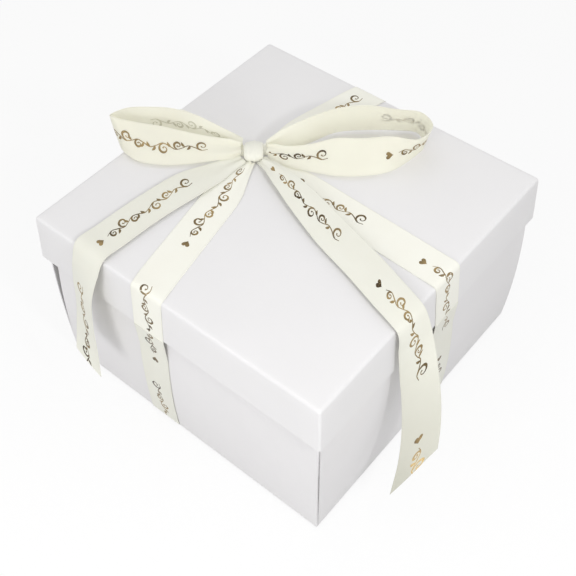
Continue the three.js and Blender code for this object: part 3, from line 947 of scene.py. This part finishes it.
left_tail = Ribbon(
    tail_stations(LEFT_TAIL_ON_LID, LEFT_TAIL_HANGING, LEFT_TAIL),
    cut=(0, 0.03),
    shape=gathered(14, 0, 1.6, 0.5, cup=0.2),
)
right_tail = Ribbon(
    tail_stations(RIGHT_TAIL_ON_LID, RIGHT_TAIL_HANGING, RIGHT_TAIL),
    cut=(0.09, 0),
    shape=gathered(16, 0, 1.5, 0.6, cup=0.25),
)
TAILS = (
    ("left", left_tail, SATIN, [(33, 1), (128, 1)]),
    ("right", right_tail, TAIL_SATIN, [(76, -1), (176, -1), (275, -1)]),
)
for name, ribbon, satin, motifs in TAILS:
    piece = ribbon.add(f"bow_{name}_tail", "lid", satin)
    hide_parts(f"ribbon_tail_{name}")
    prints = add_print(f"tail_{name}", ribbon, motifs, "lid", -1)

# Knot: a short pleated barrel across the bow, flattened underneath
KNOT_AXIS = (0.79, 0.61, 0.0)
KNOT_HALF_LENGTH = 5.4
KNOT_HALF_WIDTH = 7.2
KNOT_HALF_HEIGHT = 4.6
KNOT_RISE = 3.2
KNOT_FLAT = -0.72  # share of the half height at which the underside is cut off
KNOT_END_SHRINK = 0.3


def add_knot():
    rings, spokes = 21, 40
    axis = unit(np.array(KNOT_AXIS))
    side = np.array([-axis[1], axis[0], 0.0])
    up = np.array([0.0, 0.0, 1.0])
    centre = np.array([*KNOT, BOW_Z + KNOT_RISE])
    vertices = []
    for i in range(rings):
        a = -1 + 2 * i / (rings - 1)
        round_end = 1 - KNOT_END_SHRINK * abs(a) ** 3
        for j in range(spokes):
            t = 2 * math.pi * j / spokes
            pleat = 0.03 * math.sin(7 * a + 0.8 * math.sin(t) + 1.0)
            pleat += 0.015 * math.sin(15 * a + 2 * t)
            r = round_end * (1 + pleat)
            out = side * KNOT_HALF_WIDTH * r * math.cos(t)
            rise = up * KNOT_HALF_HEIGHT * r * max(math.sin(t), KNOT_FLAT)
            vertices.append(centre + axis * KNOT_HALF_LENGTH * a + out + rise)
    faces = []
    for i in range(rings - 1):
        for j in range(spokes):
            k = (j + 1) % spokes
            faces.append([i * spokes + j, i * spokes + k, (i + 1) * spokes + k, (i + 1) * spokes + j])
    faces.append(list(range(spokes))[::-1])
    faces.append([(rings - 1) * spokes + j for j in range(spokes)])
    piece = add_mesh("knot", np.array(vertices), faces, SATIN, "lid")
    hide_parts("bow_knot")


add_knot()


# Ribbon down the walls
def wall_bow(side, x, z):
    """How far a wall's outer face stands out, at a place across it and a height."""
    left_end, right_end = -(WALL_FACE - CARD - FIT), WALL_FACE
    across = (x - left_end) / (right_end - left_end)
    left = CORNER_BOW if side == "right" else WALL_BOW
    right = CORNER_BOW if side == "front" else WALL_BOW
    edge = left if across < 0.5 else right
    middle = max(1 - (2 * across - 1) ** 2, 0)
    swell = edge + (WALL_BOW - edge) * math.sqrt(middle)
    share = min(max(z / WALL_HEIGHT, 0), 1)
    return swell * 4 * share * (1 - share)


def wall_ribbon(side):
    lid, foot = RIBBON_AT[side]
    leg_top = RIM_Z - FIT
    leg_height = leg_top - BASE_Z
    rim = LID_HALF + RIM_FLARE + FIT - WALL_FACE
    stations = []
    for share in np.linspace(FOOT_CLEAR / leg_height, 1, 14):
        z = share * leg_height
        x = foot + (lid - foot) * (z + BASE_Z) / BOX_HEIGHT
        out = max(wall_bow(side, x, z) + FIT, rim * share**2) + SATIN_THICK / 2
        at = np.array([x, -WALL_FACE - out, z + BASE_Z])
        stations.append((at, np.array([HALF_RIBBON, 0, 0])))
    ribbon = Ribbon(stations, step=2.0)
    ribbon.middle = side_turn(ribbon.middle, side)
    ribbon.normal = side_turn(ribbon.normal, side)
    return ribbon


WALL_MOTIFS = {
    "front": [(130, -1), (40, -1)],
    "right": [(74, 1), (-20, 1)],
    "back": [(84, -1)],
    "left": [(84, -1)],
}
for side in SIDES:
    wall = f"wall_{side}"
    ribbon = wall_ribbon(side)
    piece = ribbon.add(f"ribbon_down_wall_{side}", wall, SATIN)
    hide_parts(f"wall_ribbon_{side}")
    prints = add_print(wall, ribbon, WALL_MOTIFS[side], wall, -1)

# Pieces that keep their solids, with softened edges
EDGE_SOFTNESS = 0.12
FINISH = {
    "base_panel": WHITE_CARD,
    "inner_base": IVORY_CARD,
    "lid_collar": GREY_BOARD,
    "mini_box_body": PEARL_CARD,
    "mini_box_lid": PEARL_CARD,
    "ribbon_underside": FLAT_SATIN,
}
for side in SIDES:
    FINISH[f"wall_{side}"] = WHITE_CARD
    FINISH[f"wall_card_{side}"] = OUTER_CARD
    FINISH[f"inner_wall_{side}"] = IVORY_CARD
    FINISH[f"inner_card_{side}"] = INNER_CARD
for name, material in FINISH.items():
    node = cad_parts[name]
    node.data.materials.clear()
    node.data.materials.append(material)
    node.data.shade_smooth()
    node.data.set_sharp_from_angle(angle=math.radians(35))
    edge = node.modifiers.new("soft_edge", "BEVEL")
    edge.width = EDGE_SOFTNESS * MM
    edge.segments = 2
    edge.limit_method = "ANGLE"
    edge.angle_limit = math.radians(50)


# Stage: a pale floor, a white surround and soft lamps, in metres
FLOOR_HALF = 4.0
FLOOR_DROP = 0.0003
FLOOR_GLOW = 0.8  # share of the floor's look that is plain white to the camera
FLOOR_BOUNCE = 0.56  # how pale the floor is to the light that falls on the box
WORLD_LIGHT = 0.72
LAMPS = (
    ("front_lamp", (0.1, -0.62, 0.33), (0, -0.05, 0.08), 0.25, 0.75),
    ("low_lamp", (0.1, -0.65, 0.2), (0, -0.05, 0.06), 0.25, 0.22),
    ("right_lamp", (0.41, -0.15, 0.46), (0.05, 0, 0.08), 0.06, 0.55),
    ("top_lamp", (-0.1, 0.1, 0.6), (0, 0, 0.12), 0.3, 0.12),
    ("side_lamp", (0.6, -0.15, 0.2), (0.05, 0, 0.06), 0.2, 0.12),
)


def make_floor():
    n = Nodes("floor")
    light = n.add("ShaderNodeLightPath")
    seen = n.math("MAXIMUM", light.outputs["Is Camera Ray"], light.outputs["Is Glossy Ray"])
    seen = n.math("MAXIMUM", seen, light.outputs["Is Transmission Ray"])
    glow = n.add("ShaderNodeEmission", Strength=1.0)
    blend = n.add("ShaderNodeMixShader")
    n.link(n.math("MULTIPLY", seen, FLOOR_GLOW), blend.inputs[0])
    n.link(n.shader.outputs[0], blend.inputs[1])
    n.link(glow.outputs[0], blend.inputs[2])
    n.link(blend.outputs[0], n.output.inputs["Surface"])
    n.link(n.mix(seen, (FLOOR_BOUNCE,) * 3, (0.98, 0.98, 0.98)), n.shader.inputs["Base Color"])
    n.set(Roughness=0.9, Specular_IOR_Level=0.0)
    mesh = bpy.data.meshes.new("floor")
    corners = ((-1, -1), (1, -1), (1, 1), (-1, 1))
    vertices = [(x * FLOOR_HALF, y * FLOOR_HALF, 0) for x, y in corners]
    mesh.from_pydata(vertices, [], [[0, 1, 2, 3]])
    mesh.materials.append(n.material)
    floor = bpy.data.objects.new("floor", mesh)
    bpy.context.scene.collection.objects.link(floor)
    floor.location.z = -FLOOR_DROP


def make_surround():
    """White to the camera and in reflections, and dimmer as a light on the box."""
    world = bpy.data.worlds.new("surround")
    bpy.context.scene.world = world
    world.use_nodes = True
    tree = world.node_tree
    back = tree.nodes["Background"]
    back.inputs["Color"].default_value = (1, 1, 1, 1)
    path = tree.nodes.new("ShaderNodeLightPath")
    most = tree.nodes.new("ShaderNodeMath")
    most.operation = "MAXIMUM"
    third = tree.nodes.new("ShaderNodeMath")
    third.operation = "MAXIMUM"
    scale = tree.nodes.new("ShaderNodeMapRange")
    scale.inputs["To Min"].default_value = WORLD_LIGHT
    scale.inputs["To Max"].default_value = 1.0
    tree.links.new(path.outputs["Is Camera Ray"], most.inputs[0])
    tree.links.new(path.outputs["Is Glossy Ray"], most.inputs[1])
    tree.links.new(most.outputs[0], third.inputs[0])
    tree.links.new(path.outputs["Is Transmission Ray"], third.inputs[1])
    tree.links.new(third.outputs[0], scale.inputs["Value"])
    tree.links.new(scale.outputs["Result"], back.inputs["Strength"])


def add_lamp(name, place, target, size, power):
    data = bpy.data.lights.new(name, "AREA")
    data.shape = "DISK"
    data.size = size
    data.energy = power
    lamp = bpy.data.objects.new(name, data)
    lamp.location = place
    lamp.rotation_euler = (Vector(target) - Vector(place)).to_track_quat("-Z", "Y").to_euler()
    bpy.context.scene.collection.objects.link(lamp)


make_floor()
make_surround()
for row in LAMPS:
    add_lamp(*row)
